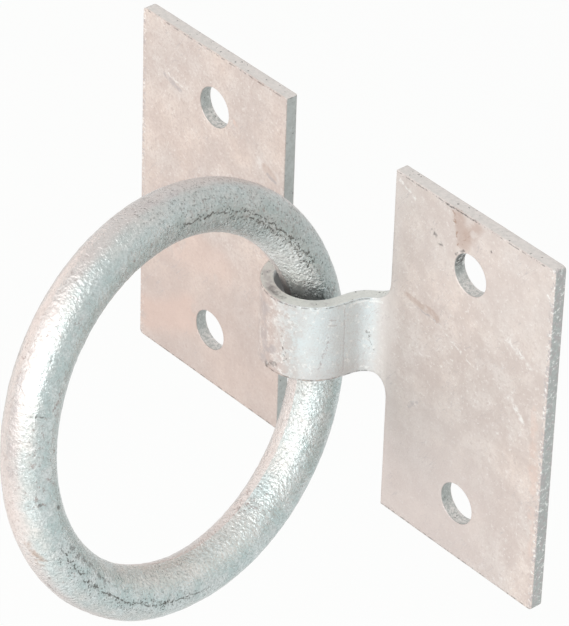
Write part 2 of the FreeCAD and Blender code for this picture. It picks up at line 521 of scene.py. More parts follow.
# Places are in millimetres, on a wing across the wall and up it, elsewhere along the strap and up it
MARKS = {
    Zone.REST: (
        Mark(Tint.SHADOW, (-9.0, 10.0), (-1.0, 10.0), 1.60, 0.60, 2.6, 0.46),
        Mark(Tint.SOOT, (-3.0, 10.0), (1.5, 10.0), 1.10, 0.55, 2.2, 0.52),
        Mark(Tint.SHADOW, (6.0, 10.0), (14.0, 10.0), 1.00, 0.45, 2.2, 0.54),
    ),
    Zone.RIGHT_WING: (
        Mark(Tint.SOOT, (34.0, 44.5), (43.4, 44.7), 0.34, 0.8, 0.8, 0.48),
        Mark(Tint.STAIN, (38.6, 43.0), (40.4, 37.4), 3.0, 0.58, 4.0, 0.34),
        Mark(Tint.STAIN, (43.8, 43.0), (41.4, 39.6), 2.5, 0.52, 4.0, 0.36),
        Mark(Tint.RUST, (36.2, 44.0), (38.8, 36.0), 0.45, 0.60, 3.4, 0.44),
        Mark(Tint.SOOT, (38.0, 33.4), (40.2, 35.6), 0.60, 0.70, 1.4, 0.50),
        Mark(Tint.WHITE, (19.6, 43.0), (24.6, 40.6), 0.55, 0.60, 2.4, 0.46),
        Mark(Tint.SOOT, (48.5, 39.8), (48.6, 39.7), 0.38, 0.7, 0.5, 0.2),
        Mark(Tint.SOOT, (30.4, 35.6), (33.2, 33.2), 0.90, 0.80, 3.0, 0.50),
        Mark(Tint.STAIN, (23.4, 15.4), (33.2, 14.2), 1.30, 0.55, 2.6, 0.40),
        Mark(Tint.SHADOW, (27.0, 13.8), (34.0, 13.2), 0.45, 0.75, 1.8, 0.42),
        Mark(Tint.WHITE, (33.0, 13.2), (45.0, 8.0), 0.45, 0.6, 2.6, 0.50),
        Mark(Tint.WHITE, (55.6, 21.0), (62.2, 17.6), 1.10, 0.8, 4.0, 0.52),
        Mark(Tint.WHITE, (66.0, 38.2), (67.8, 36.0), 0.50, 0.8, 1.8, 0.46),
        Mark(Tint.WHITE, (57.4, 6.4), (63.4, 0.2), 1.10, 0.7, 4.0, 0.53),
        Mark(Tint.PINK, (64.5, 8.0), (66.8, -30.0), 1.80, 0.35, 4.0, 0.44),
        Mark(Tint.SHADOW, (25.4, -13.2), (28.2, -11.0), 0.90, 0.60, 2.4, 0.47),
        Mark(Tint.RUST, (41.9, 41.5), (39.8, 36.8), 0.34, 0.50, 3.0, 0.48),
    ),
    Zone.LEFT_WING: (
        Mark(Tint.SHADOW, (-60.2, 30.6), (-54.4, 29.4), 0.80, 0.6, 2.2, 0.44),
        Mark(Tint.WHITE, (-58.6, 31.6), (-54.0, 30.4), 0.45, 0.5, 1.6, 0.46),
        Mark(Tint.WHITE, (-26.2, 24.6), (-21.0, 22.6), 2.10, 0.35, 1.4, 0.34),
        Mark(Tint.STAIN, (-24.6, 23.6), (-21.4, 22.6), 1.60, 0.5, 1.2, 0.30),
        Mark(Tint.SHADOW, (-23.6, 22.2), (-21.0, 21.4), 0.70, 0.7, 1.0, 0.34),
        Mark(Tint.PINK, (-36.0, 30.6), (-34.6, 29.8), 0.90, 0.5, 2.0, 0.42),
        Mark(Tint.RUST, (-30.0, 44.5), (-22.0, 44.7), 0.30, 0.45, 0.8, 0.50),
        Mark(Tint.PINK, (-64.5, -38.0), (-50.0, -30.0), 7.00, 0.45, 7.0, 0.30),
        Mark(Tint.PINK, (-62.0, -14.0), (-40.0, -10.0), 8.00, 0.32, 8.0, 0.34),
    ),
    Zone.STRAP: (
        Mark(Tint.SHADOW, (0.3, -3.6), (-0.2, -5.2), 1.40, 0.65, 2.4, 0.42),
        Mark(Tint.SOOT, (1.0, -7.6), (-1.4, -9.0), 1.00, 0.62, 2.8, 0.47),
        Mark(Tint.SHADOW, (-2.6, 6.0), (-2.4, -8.0), 2.20, 0.60, 3.0, 0.44),
        Mark(Tint.SOOT, (2.6, 2.8), (3.5, -5.6), 0.26, 0.75, 2.4, 0.50),
        Mark(Tint.SHADOW, (12.0, 6.4), (13.4, 6.0), 0.22, 0.60, 0.5, 0.30),
        Mark(Tint.SHADOW, (12.0, 4.9), (13.6, 4.6), 0.22, 0.60, 0.5, 0.30),
        Mark(Tint.SHADOW, (12.2, 1.8), (10.2, -6.8), 0.26, 0.75, 2.2, 0.42),
        Mark(Tint.SHADOW, (15.4, 8.5), (15.6, -8.6), 0.30, 0.45, 0.8, 0.40),
        Mark(Tint.SOOT, (22.0, 1.4), (24.0, -4.0), 0.34, 0.60, 2.8, 0.50),
        Mark(Tint.SOOT, (-3.0, 9.5), (5.0, 9.6), 0.22, 0.60, 0.7, 0.52),
        Mark(Tint.SOOT, (12.0, 9.6), (21.0, 9.6), 0.14, 0.50, 0.5, 0.50),
        Mark(Tint.RUST, (-2.0, -9.5), (14.0, -9.6), 0.20, 0.55, 0.7, 0.48),
        Mark(Tint.WHITE, (17.0, 9.0), (26.0, 9.2), 0.45, 0.60, 0.9, 0.40),
    ),
}

# Places are in degrees, along the ring from its outermost place and round the bar from its outer rim
RING_MARKS = (
    Mark(Tint.SOOT, (21.4, -41.0), (21.9, -73.0), 0.32, 0.60, 0.8, 0.40),
    Mark(Tint.SOOT, (19.6, -55.0), (24.4, -49.0), 0.26, 0.50, 0.8, 0.44),
    Mark(Tint.SOOT, (-3.0, -65.0), (-3.2, -66.0), 0.60, 0.70, 0.5, 0.20),
    Mark(Tint.SOOT, (-6.9, -108.0), (-7.4, -110.0), 0.65, 0.70, 0.6, 0.20),
    Mark(Tint.RUST, (-21.0, -27.0), (-15.0, -20.0), 1.60, 0.55, 2.6, 0.49),
    Mark(Tint.SHADOW, (94.0, -19.0), (80.0, -10.0), 1.60, 0.45, 2.6, 0.53),
    Mark(Tint.SOOT, (-22.0, -104.0), (-44.0, -106.0), 1.00, 0.55, 2.4, 0.52),
    Mark(Tint.SHADOW, (30.0, 0.0), (6.0, -12.0), 1.80, 0.45, 3.0, 0.48),
)


@dataclass(frozen=True)
class Skin:
    """The sizes of a zinc skin's clouds, flecks and grain."""

    cloud: float
    fleck: float
    grain: float


@dataclass(frozen=True)
class Patches:
    """Patches in the zinc, which lie where a noise is high.

    Attributes:
        size: how large they are.
        low: the noise at which they start.
        high: the noise at which they are full. Where it is below low, they lie where the noise is low.
        share: how far they hide what is under them.
        detail: how many finer noises are added to the noise.
        rough: how strong those are.
    """

    size: float
    low: float
    high: float
    share: float = 1.0
    detail: float = 2.0
    rough: float = 0.5


@dataclass(frozen=True)
class PlateFinish:
    """Dull, warm grey zinc on the sheet, its patches, and where on the flat blank its tones change."""

    face: Colour = (0.715, 0.620, 0.560)
    cloud: Colour = (0.640, 0.590, 0.560)
    strap: Colour = (0.650, 0.705, 0.715)
    # pale zinc, also laid as painted highlight and painted light
    pale_zinc_and_light: Colour = (0.770, 0.715, 0.685)
    lip: Colour = (0.735, 0.725, 0.685)
    sheared: Colour = (0.465, 0.500, 0.490)
    torn: Colour = (0.330, 0.350, 0.335)
    fleck: Colour = (0.520, 0.430, 0.395)
    lower_wing_tone: Colour = (0.585, 0.530, 0.510)
    metallic: float = 0.65
    roughness: float = 0.50
    bump: float = 0.06 * MM
    skin: Skin = Skin(16.0 * MM, 1.6 * MM, 0.45 * MM)
    fine: Skin = Skin(5.0 * MM, 0.7 * MM, 0.9 * MM)
    wide: Patches = Patches(30.0 * MM, 0.42, 0.62, 0.4)
    blotches: Patches = Patches(3.0 * MM, 0.42, 0.64, 0.20, 4.0, 0.65)
    speckle: Patches = Patches(0.8 * MM, 0.44, 0.60, 0.36, 2.0, 0.8)
    mottle: Patches = Patches(5.0 * MM, 0.34, 0.62, 1.0, 4.0, 0.65)
    smudges: Patches = Patches(2.0 * MM, 0.42, 0.56, 0.75, 5.0, 0.75)
    chalk: Patches = Patches(1.3 * MM, 0.55, 0.66, 0.5, 4.0, 0.7)
    grit: Patches = Patches(0.6 * MM, 0.52, 0.66, 0.35, 3.0, 0.8)
    tears: Patches = Patches(1.1 * MM, 0.38, 0.64, 1.0, 4.0, 0.7)
    dross: Patches = Patches(0.8 * MM, 0.44, 0.58, 0.6, 4.0, 0.75)
    whitening: Patches = Patches(0.6 * MM, 0.54, 0.62, 0.3, 3.0, 0.7)
    crust: Patches = Patches(0.9 * MM, 0.43, 0.52, 0.85, 4.0, 0.75)
    crumbs: Patches = Patches(0.7 * MM, 0.57, 0.63, 0.8, 3.0, 0.7)
    rim_line: Patches = Patches(1.6 * MM, 0.47, 0.56, 0.55, 4.0, 0.6)
    nicks: Patches = Patches(0.9 * MM, 0.54, 0.61, 0.75, 4.0, 0.75)
    dents: Patches = Patches(1.0 * MM, 0.49, 0.43, 0.75, 4.0, 0.75)
    highlight_run: Band = (-3.0 * MM, 7.0 * MM, 22.5 * MM, 30.0 * MM)
    root_highlight: Band = (22.5 * MM, 27.5 * MM, 27.5 * MM, 33.5 * MM)
    left_of_nose: Ramp = (10.0 * MM, 0.0)
    low_on_strap: Ramp = (-3.0 * MM, -9.0 * MM)
    high_on_wing: Ramp = (4.0 * MM, 34.0 * MM)
    low_on_wing: Ramp = (10.0 * MM, -30.0 * MM)
    off_outer_end: Ramp = (78.0 * MM, 50.0 * MM)
    inside_eye: Ramp = (22.0 * MM, 18.0 * MM)
    crust_reach: Ramp = (5.4 * MM, 1.9 * MM)
    rim_line_width: Ramp = (0.25 * MM, 0.10 * MM)
    nick_depth: Ramp = (1.7 * MM, 0.5 * MM)
    right_wing_extra: float = 1.5


@dataclass(frozen=True)
class RingFinish:
    """Bright, grainy zinc on the bar, its patches, and where its tones change, in degrees."""

    bright: Colour = (0.635, 0.695, 0.695)
    warm: Colour = (0.735, 0.645, 0.595)
    warm_reflection_and_dirt: Colour = (0.665, 0.585, 0.560)
    teal: Colour = (0.470, 0.570, 0.565)
    dull: Colour = (0.370, 0.405, 0.395)
    grime: Colour = (0.300, 0.235, 0.220)
    pit: Colour = (0.130, 0.130, 0.120)
    metallic: float = 0.9
    roughness: float = 0.24
    bump: float = 0.34 * MM
    skin: Skin = Skin(7.0 * MM, 1.1 * MM, 0.7 * MM)
    fine: Skin = Skin(3.5 * MM, 0.6 * MM, 2.2 * MM)
    pepper: Patches = Patches(0.6 * MM, 0.44, 0.60, 0.5, 2.0, 0.8)
    dirt: Patches = Patches(12.0 * MM, 0.50, 0.64, 1.0, 3.0)
    crumbs: Patches = Patches(1.1 * MM, 0.555, 0.625, 1.0, 5.0, 0.75)
    breaks: Patches = Patches(0.9 * MM, 0.43, 0.52, 1.0, 3.0, 0.6)
    # where round the bar a painted cool reflection lies
    cool_reflection_side: Band = (-150.0, -115.0, -75.0, -45.0)
    shaded_side: Ramp = (-106.0, -86.0)
    inner_side: Ramp = (95.0, 125.0)
    outer_rim: Ramp = (-42.0, -12.0)
    above_eye: Ramp = (122.0, 142.0)
    underneath: Band = (-126.0, -104.0, -66.0, -46.0)
    top: Band = (0.0, 60.0, 120.0, 150.0)
    crest: Ramp = (66.0, 90.0)
    calm: Band = (-30.0, 5.0, 60.0, 85.0)
    over_eye: Ramp = (70.0, 115.0)
    eye_side: Ramp = (-125.0, -80.0)
    under_eye: Ramp = (-125.0, -165.0)


class Coat(Graph):
    """The node graph of one finish, whose colour is laid up coat by coat.

    Attributes:
        material: the material.
        finish: its sizes and colours.
        shared: the shader groups.
        place: the place in the object.
        own: the place in the piece's own coordinates.
        colour: the colour so far.
        worn: how far the marks wear each place.
    """

    def __init__(self, name: str, finish: PlateFinish | RingFinish, shared: SharedGroups) -> None:
        """Starts a material.

        Args:
            name: its name.
            finish: its sizes and colours.
            shared: the shader groups.
        """
        self.material = bpy.data.materials.new(name)
        self.material.use_nodes = True
        super().__init__(self.material.node_tree)
        self.finish = finish
        self.shared = shared
        self.place = self.own = self.add("TexCoord")["Object"]
        self.colour: Any = None
        self.worn: Any = 0.0

    def group(self, tree: bpy.types.NodeTree, **inputs: Any) -> Any:
        """Adds a shader group, whose inputs are fed by name, and returns its outputs."""
        return self.add("Group", inputs, node_tree=tree)

    def skin(self, place: Any, skin: Skin) -> Any:
        """Gives the clouds, flecks and grain of a zinc skin."""
        sizes = {"Cloud Size": skin.cloud, "Fleck Size": skin.fleck, "Grain Size": skin.grain}
        return self.group(self.shared.skin, Place=place, **sizes)

    def patches(self, place: Any, patches: Patches) -> Any:
        """Gives how far patches cover each place.

        Args:
            place: the coordinates that their noise is read at.
            patches: the patches.

        Returns:
            How far they hide what is under them, from 0 to 1.
        """
        noise = self.noise(place, patches.size, patches.detail, patches.rough)
        covered = self.step(noise, patches.low, patches.high)
        return covered if patches.share == 1.0 else self.product(covered, patches.share)

    def lay(self, tint: Colour | Tint, *shares: Any) -> None:
        """Lays a colour over what is there, as thick as the product of some shares."""
        self.colour = self.blend(self.product(*shares), self.colour, tint)

    def scatter(self, tint: Colour | Tint, place: Any, patches: Patches, *shares: Any) -> None:
        """Lays patches of a colour over what is there, thinned by some shares."""
        self.lay(tint, self.patches(place, patches), *shares)

    def lay_marks(self, marks: Iterable[Mark], locate: Callable[[float, float], Place]) -> None:
        """Lays marks over what is there.

        Args:
            marks: the marks.
            locate: gives the place, in the piece's own coordinates, of the two numbers of a mark's end.
        """
        for mark in marks:
            ends = {"Start": locate(*mark.start), "End": locate(*mark.end)}
            sizes = {"Width": mark.width * MM, "Waver": mark.waver * MM, "Gaps": mark.gaps}
            streak = self.group(self.shared.streak, Place=self.own, **ends, **sizes)
            shown = self.product(streak["Mask"], mark.strength)
            self.lay(mark.tint, shown)
            self.worn = self.most(self.worn, shown)

    def roughness(self, clouds: Any) -> Socket:
        """Gives the finish's roughness, which is higher in the clouds of its skin."""
        return self.between(clouds, self.finish.roughness - 0.05, self.finish.roughness + 0.06)

    def close(self, rough: Any, height: Any) -> bpy.types.Material:
        """Feeds the shader and closes the material.

        Args:
            rough: the roughness.
            height: the height of the grain, as a share of the finish's bump.

        Returns:
            The material.
        """
        shader = self.tree.nodes["Principled BSDF"]
        shader.inputs["Metallic"].default_value = self.finish.metallic
        bump = self.add("Bump", {"Height": height, "Distance": self.finish.bump, "Strength": 1.0})[0]
        for name, value in {"Base Color": self.colour, "Roughness": rough, "Normal": bump}.items():
            self.feed(shader.inputs[name], value)
        return self.material


# The folded plate


@dataclass
class EyePlate:
    """The galvanised plate: two flat wings and the strap between them, folded forward into an eye."""

    sheet: float = 3.2 * MM
    wing_width: float = 50.0 * MM
    corner_radius: float = 1.0 * MM
    edge_radius: float = 0.3 * MM
    strap_height: float = 20.0 * MM
    notch_radius: float = 5.5 * MM
    root_bend: float = 5.8 * MM
    leg: float = 3.5 * MM
    wing_grid: float = 0.9 * MM
    strap_grid: float = 0.5 * MM
    finish: PlateFinish = PlateFinish()

    def __post_init__(self) -> None:
        """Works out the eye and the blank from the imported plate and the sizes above."""
        low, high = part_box("eye_plate")
        self.half_height = high.z
        self.half_gap = high.x - self.wing_width
        self.eye_y = HINGE["pos_m"][1]
        self.eye_middle = self.eye_y - low.y - self.sheet / 2
        self.root_middle = self.root_bend + self.sheet / 2
        self.root_y = -self.sheet / 2 - self.root_middle
        reach = math.hypot(self.root_middle + self.eye_middle, self.leg)
        self.turn = math.acos(self.leg / reach) - math.atan2(self.eye_y - self.root_y, self.half_gap)
        self.half_strap = (self.root_middle + self.eye_middle) * self.turn + self.leg
        self.half_length = self.half_strap + self.wing_width
        self.hole_radius = BOLTS["hole_r_mm"] * MM
        self.hole_along = BOLTS["spacing_x_mm"] * MM / 2 - self.half_gap + self.half_strap
        self.hole_up = BOLTS["spacing_y_mm"] * MM / 2

    def build(self, shared: SharedGroups) -> Piece:
        """Makes the plate and gives it its finish.

        Args:
            shared: the shader groups.

        Returns:
            The plate.
        """
        plate = self.shear_blank()
        self.punch(plate)
        sharp = {"limit_method": "ANGLE", "angle_limit": math.radians(45)}
        apply_modifier(plate, "BEVEL", width=self.edge_radius, segments=3, **sharp)
        self.divide(plate)
        self.mark_flat_places(plate)
        zones = list(Zone)
        for zone in zones:
            plate.data.materials.append(self.dress(zone, shared))
        for face in plate.data.polygons:
            face.material_index = zones.index(self.zone_at(face.center))
        self.fold(plate)
        self.roughen(plate)
        join_points(plate, 0.0005 * MM)
        pick(plate)
        bpy.ops.object.shade_smooth_by_angle(angle=math.radians(35))
        return plate

    def through(self, first: Vector, last: Vector) -> bool:
        """Tells whether an edge runs through the sheet."""
        return abs(first.y - last.y) > self.sheet / 2

    def shear_blank(self) -> Piece:
        """Makes the flat blank with slightly round corners, its front towards -Y.

        Returns:
            The blank.
        """
        size = (2 * self.half_length, self.sheet, 2 * self.half_height)
        blank = block("galvanised_eye_plate", ORIGIN, size)
        round_edges(blank, self.through, self.corner_radius, 4)
        return blank

    def punch(self, blank: Piece) -> None:
        """Cuts the two notches that leave the strap, and the four bolt holes.

        Args:
            blank: the blank.
        """
        for side in (-1, 1):
            centre = (0.0, 0.0, side * (self.strap_height / 2 + self.half_height))
            notch = block("notch", centre, (2 * self.half_strap, 2 * self.sheet, 2 * self.half_height))
            round_edges(
                notch,
                lambda first, last: self.through(first, last) and abs(first.z) < self.half_height,
                self.notch_radius,
                14,
            )
            self.cut_away(blank, notch)
        for along in (-self.hole_along, self.hole_along):
            for up in (-self.hole_up, self.hole_up):
                bpy.ops.mesh.primitive_cylinder_add(
                    vertices=72,
                    radius=self.hole_radius,
                    depth=4 * self.sheet,
                    location=(along, 0.0, up),
                    rotation=(math.pi / 2, 0.0, 0.0),
                )
                self.cut_away(blank, bpy.context.object)

    def cut_away(self, blank: Piece, cutter: Piece) -> None:
        """Takes a cutter's shape out of the blank and throws the cutter away."""
        apply_modifier(blank, "BOOLEAN", object=cutter, operation="DIFFERENCE", solver="EXACT")
        bpy.data.objects.remove(cutter)

    def divide(self, blank: Piece) -> None:
        """Cuts the blank's faces into a grid, so that it can fold and take the zinc's relief.

        Args:
            blank: the blank.
        """
        with editing(blank):
            for place, normal in self.grid_lines():
                bpy.ops.mesh.select_all(action="SELECT")
                bpy.ops.mesh.bisect(plane_co=place, plane_no=normal)

    def grid_lines(self) -> Iterator[tuple[Place, Place]]:
        """Gives each cut of the grid, as a place on it and the direction that it faces.

        Returns:
            The cuts, one after the other.
        """
        strap_cuts = round(2 * self.half_strap / self.strap_grid)
        for index in range(1, strap_cuts):
            yield (self.half_strap * (2 * index / strap_cuts - 1), 0.0, 0.0), (1.0, 0.0, 0.0)
        wing_cuts = round(self.wing_width / self.wing_grid)
        for index in range(wing_cuts):
            for side in (-1, 1):
                along = self.half_strap + self.wing_width * index / wing_cuts
                yield (side * along, 0.0, 0.0), (1.0, 0.0, 0.0)
        height_cuts = round(2 * self.half_height / self.wing_grid)
        for index in range(1, height_cuts):
            yield (0.0, 0.0, self.half_height * (2 * index / height_cuts - 1)), (0.0, 0.0, 1.0)
        for share in (-0.25, 0.0, 0.25):
            yield (0.0, self.sheet * share, 0.0), (0.0, 1.0, 0.0)

    def mark_flat_places(self, blank: Piece) -> None:
        """Keeps each point's place on the flat blank, which the finish and the relief follow.

        Args:
            blank: the blank.
        """
        places = blank.data.attributes.new("blank", "FLOAT_VECTOR", "POINT")
        places.data.foreach_set("vector", [value for vertex in blank.data.vertices for value in vertex.co])
        skin = self.sheet / 2 - self.edge_radius
        store_weights(blank, "sheared", lambda place: smoothed(abs(place.y), self.sheet / 2, skin))

    def fold(self, blank: Piece) -> None:
        """Folds the blank forward along its middle line and throws the line away.

        Args:
            blank: the blank, which becomes the plate.
        """
        blank.location.x = self.half_length
        apply_place(blank)
        line = self.fold_line()
        apply_modifier(blank, "CURVE", object=line, deform_axis="POS_X")
        bpy.data.objects.remove(line)

    def fold_line(self) -> Piece:
        """Draws the line that the middle of the folded sheet follows, from its left end to its right end.

        Returns:
            The line, as a curve in the scene.
        """
        level = -self.sheet / 2
        end = self.half_gap + self.wing_width
        ahead = Vector((1.0, 0.0))
        upright = math.pi / 2
        runs = [
            [(Vector((-end, level)), ahead, 0.0)],
            self.bend((-self.half_gap, self.root_y), self.root_middle, upright, upright - self.turn, 6),
            self.bend((0.0, self.eye_y), self.eye_middle, -upright - self.turn, self.turn - upright, 12),
            self.bend((self.half_gap, self.root_y), self.root_middle, upright + self.turn, upright, 6),
            [(Vector((end, level)), ahead, 0.0)],
        ]
        data = bpy.data.curves.new("fold_line", "CURVE")
        data.dimensions = "2D"
        data.resolution_u = 64
        knots = [(number, *knot) for number, run in enumerate(runs) for knot in run]
        spline = data.splines.new("BEZIER")
        spline.bezier_points.add(len(knots) - 1)
        for index, point in enumerate(spline.bezier_points):
            number, place, heading, handle = knots[index]
            ends = []
            for way in (-1, 1):
                other = knots[min(max(index + way, 0), len(knots) - 1)]
                bent = place + heading * (handle * way)
                ends.append(bent if other[0] == number else place.lerp(other[1], 1 / 3))
            point.handle_left_type = point.handle_right_type = "FREE"
            point.co = (*place, 0.0)
            point.handle_left, point.handle_right = ((*end, 0.0) for end in ends)
        line = bpy.data.objects.new("fold_line", data)
        bpy.context.scene.collection.objects.link(line)
        return line

    def bend(
        self, centre: tuple[float, float], radius: float, first: float, last: float, spans: int
    ) -> list[tuple[Vector, Vector, float]]:
        """Gives the knots of one round bend.

        Args:
            centre: its centre, in the plane across the strap.
            radius: its radius at the middle of the sheet.
            first: the angle that it starts at, from +X.
            last: the angle that it ends at.
            spans: how many spans it is drawn in.

        Returns:
            Each knot's place, its heading and its handles' length, which is negative on a clockwise bend.
        """
        step = (last - first) / spans
        handle = 4 / 3 * math.tan(step / 4) * radius
        knots = []
        for index in range(spans + 1):
            angle = first + step * index
            outward = Vector((math.cos(angle), math.sin(angle)))
            knots.append((Vector(centre) + outward * radius, Vector((-outward.y, outward.x)), handle))
        return knots

    def roughen(self, plate: Piece) -> None:
        """Gives the folded plate the relief of its zinc and its sheared edges.

        Args:
            plate: the folded plate.
        """
        sink_surface(plate, Relief.WAVES, 8.0 * MM, 0.05 * MM)
        sink_surface(plate, Relief.WAVES, 2.2 * MM, 0.02 * MM)
        sink_surface(plate, Relief.WAVES, 0.8 * MM, 0.10 * MM, "sheared")

    def zone_at(self, place: Vector) -> Zone:
        """Gives the zone of a place on the flat blank.

        Args:
            place: a place on the flat blank.

        Returns:
            Its zone.
        """
        if place.y > self.edge_radius - self.sheet / 2:
            return Zone.REST
        if abs(place.x) < self.half_strap:
            return Zone.STRAP
        return Zone.LEFT_WING if place.x < 0 else Zone.RIGHT_WING

    def locate(self, zone: Zone, along: float, up: float) -> Place:
        """Gives the place on the flat blank of a mark's end.

        Args:
            zone: the zone of the mark.
            along: on a wing the distance across the wall, else that along the strap, in millimetres.
            up: the height, in millimetres.

        Returns:
            The place, on the blank's front or, outside the zones of the front, half way through it.
        """
        on_wing = zone in (Zone.LEFT_WING, Zone.RIGHT_WING)
        shift = math.copysign(self.half_strap - self.half_gap, along) if on_wing else 0.0
        return along * MM + shift, 0.0 if zone is Zone.REST else -self.sheet / 2, up * MM

    def dress(self, zone: Zone, shared: SharedGroups) -> bpy.types.Material:
        """Makes the material of one zone.

        Args:
            zone: the zone.
            shared: the shader groups.

        Returns:
            The material.
        """
        finish = self.finish
        coat = Coat(zone.value, finish, shared)
        coat.own = coat.add("Attribute", attribute_name="blank")["Vector"]
        depth = coat.parts(coat.own)[1]
        skin, fine = coat.skin(coat.place, finish.skin), coat.skin(coat.place, finish.fine)
        busy = finish.right_wing_extra if zone is Zone.RIGHT_WING else 1.0
        coat.colour = finish.face
        coat.lay(finish.cloud, skin["Cloud"], 0.8)
        coat.scatter(finish.cloud, coat.place, finish.wide)
        coat.scatter(finish.pale_zinc_and_light, coat.place, finish.blotches, busy)
        coat.lay(finish.fleck, fine["Cloud"], 0.46 * busy)
        coat.lay(finish.fleck, skin["Fleck"], 0.5 * busy)
        coat.lay(Tint.WHITE, fine["Fleck"], 0.35 * busy)
        coat.scatter(finish.fleck, coat.place, finish.speckle)
        rough = coat.roughness(skin["Cloud"])
        if zone is Zone.REST:
            self.dress_inside(coat)
        elif zone is Zone.STRAP:
            rough = coat.linear(self.dress_strap(coat), -0.16, rough)
        self.dress_wings(coat, zone)
        turned = coat.add("Mapping", {"Vector": coat.own, "Rotation": (math.pi / 2, 0.0, 0.9)})[0]
        scratches = coat.group(shared.scratches, Place=turned, Length=9.0 * MM, Spacing=1.1 * MM, Share=0.42)
        coat.lay(Tint.SHADOW, scratches["Mask"], 0.45)
        half = self.sheet / 2
        edge = coat.step(coat.unsigned(depth), half - 0.05 * MM, half - 0.35 * MM)
        self.dress_edges(coat, edge)
        coat.lay_marks(MARKS[zone], partial(self.locate, zone))
        if zone is Zone.REST:
            self.line_holes(coat)
        self.wear_rim(coat)
        pits = coat.group(shared.specks, Place=coat.place, Spacing=0.9 * MM, Radius=0.26, Share=0.25)
        coat.lay(Tint.SOOT, pits["Mask"], coat.linear(edge, 0.7, 0.08))
        grain = coat.linear(fine["Grain"], 0.8, skin["Grain"])
        return coat.close(coat.linear(coat.worn, 0.2, rough), coat.linear(coat.worn, -0.8, grain))

    def on_strap(self, coat: Coat) -> Socket:
        """Gives 1 on the strap and 0 on the wings."""
        along = coat.unsigned(coat.parts(coat.own)[0])
        return coat.step(along, self.half_strap, self.half_strap - 2.0 * MM)

    def dress_strap(self, coat: Coat) -> Socket:
        """Lays a painted bluish highlight along the strap, and its smudges.

        Args:
            coat: the strap's coat.

        Returns:
            How strong the painted highlight is at each place.
        """
        finish = self.finish
        along, _, up = coat.parts(coat.own)
        # a painted bluish highlight in a band along the strap, broken up by mottle
        bright = coat.band(along, finish.highlight_run)
        bright = coat.product(bright, coat.linear(coat.patches(coat.place, finish.mottle), -0.2, 1.0))
        coat.lay(finish.strap, bright)
        coat.scatter(finish.fleck, coat.place, finish.smudges, coat.step(along, *finish.left_of_nose))
        coat.lay(finish.fleck, coat.step(up, *finish.low_on_strap), 0.28)
        coat.scatter(Tint.WHITE, coat.place, finish.chalk)
        coat.scatter(finish.fleck, coat.place, finish.grit)
        return bright

    def dress_inside(self, coat: Coat) -> None:
        """Lays bright zinc on the strap's back and edges, and a near-black painted shade inside the eye.

        Args:
            coat: the coat of the back and the edges.
        """
        finish = self.finish
        along, _, up = coat.parts(coat.own)
        coat.lay(finish.strap, self.on_strap(coat), 0.8)
        # near-black painted shade inside the eye, along the strap's top and bottom edges
        rim = self.strap_height / 2
        eye_shade = coat.step(coat.unsigned(up), rim - 0.3 * MM, rim - 2.0 * MM)
        coat.lay(Tint.SOOT, eye_shade, coat.step(coat.unsigned(along), *finish.inside_eye), 0.82)

    def dress_wings(self, coat: Coat, zone: Zone) -> None:
        """Lays a painted highlight over the right root bend, and how the wings change from top to bottom.

        Args:
            coat: the coat of a zone.
            zone: the zone.
        """
        finish = self.finish
        along, _, up = coat.parts(coat.own)
        if zone in (Zone.STRAP, Zone.RIGHT_WING):
            # a paler band over the right root bend: a painted highlight
            coat.lay(finish.pale_zinc_and_light, coat.band(along, finish.root_highlight), 0.7)
        if zone is Zone.RIGHT_WING:
            coat.lay(finish.pale_zinc_and_light, coat.linear(coat.step(up, *finish.high_on_wing), 0.24, 0.16))
        # both wings turn darker towards the bottom
        low = {Zone.LEFT_WING: (0.50, finish.fleck), Zone.RIGHT_WING: (0.68, finish.lower_wing_tone)}
        if zone in low:
            share, tone = low[zone]
            lower = coat.step(up, *finish.low_on_wing)
            coat.lay(tone, lower, coat.step(along, *finish.off_outer_end), share)

    def dress_edges(self, coat: Coat, edge: Any) -> None:
        """Lays the torn, greyer zinc on the sheared edges.

        Args:
            coat: the coat of a zone.
            edge: 1 on the sheared edges and 0 on the faces.
        """
        finish = self.finish
        on_strap = self.on_strap(coat)
        above = coat.unsigned(coat.parts(coat.own)[2])
        flat_run = coat.step(above, self.half_height - 0.5 * MM, self.half_height - 0.1 * MM)
        tears = coat.patches(coat.place, finish.tears)
        torn = coat.product(tears, coat.linear(coat.most(flat_run, on_strap), -0.3, 0.5))
        sheared = coat.blend(on_strap, finish.sheared, finish.lip)
        sheared = coat.blend(coat.product(flat_run, 0.9), sheared, finish.pale_zinc_and_light)
        coat.lay(coat.blend(torn, sheared, finish.torn), edge, 0.9)

    def line_holes(self, coat: Coat) -> None:
        """Lays painted light on the lower part of the bolt holes' walls, dross on the walls, and a black
        crust on the upper right one's.

        Args:
            coat: the coat of the back and the edges.
        """
        finish = self.finish
        along, _, up = coat.parts(coat.own)
        across = coat.maths("SUBTRACT", coat.unsigned(along), self.hole_along)
        above = coat.maths("SUBTRACT", up, coat.product(coat.maths("SIGN", up), self.hole_up))
        spot = coat.vector("LENGTH", coat.add("CombineXYZ", {0: across, 1: above})[0])
        wall = coat.step(spot, self.hole_radius + 0.2 * MM, self.hole_radius + 0.1 * MM)
        # the lower part of each hole's wall, which faces up, is paler: painted light
        lower = coat.step(above, -0.3 * self.hole_radius, -0.9 * self.hole_radius)
        coat.lay(finish.pale_zinc_and_light, wall, lower, 0.75)
        coat.scatter(finish.torn, coat.own, finish.dross, wall)
        coat.scatter(Tint.WHITE, coat.own, finish.whitening, wall)
        middle = (self.hole_along - 0.85 * self.hole_radius, 0.0, self.hole_up + 0.5 * self.hole_radius)
        near = coat.step(coat.vector("DISTANCE", coat.own, middle), *finish.crust_reach)
        near = coat.product(near, wall)
        coat.scatter(Tint.SOOT, coat.own, finish.crust, near)
        coat.scatter(Tint.WHITE, coat.own, finish.crumbs, near)

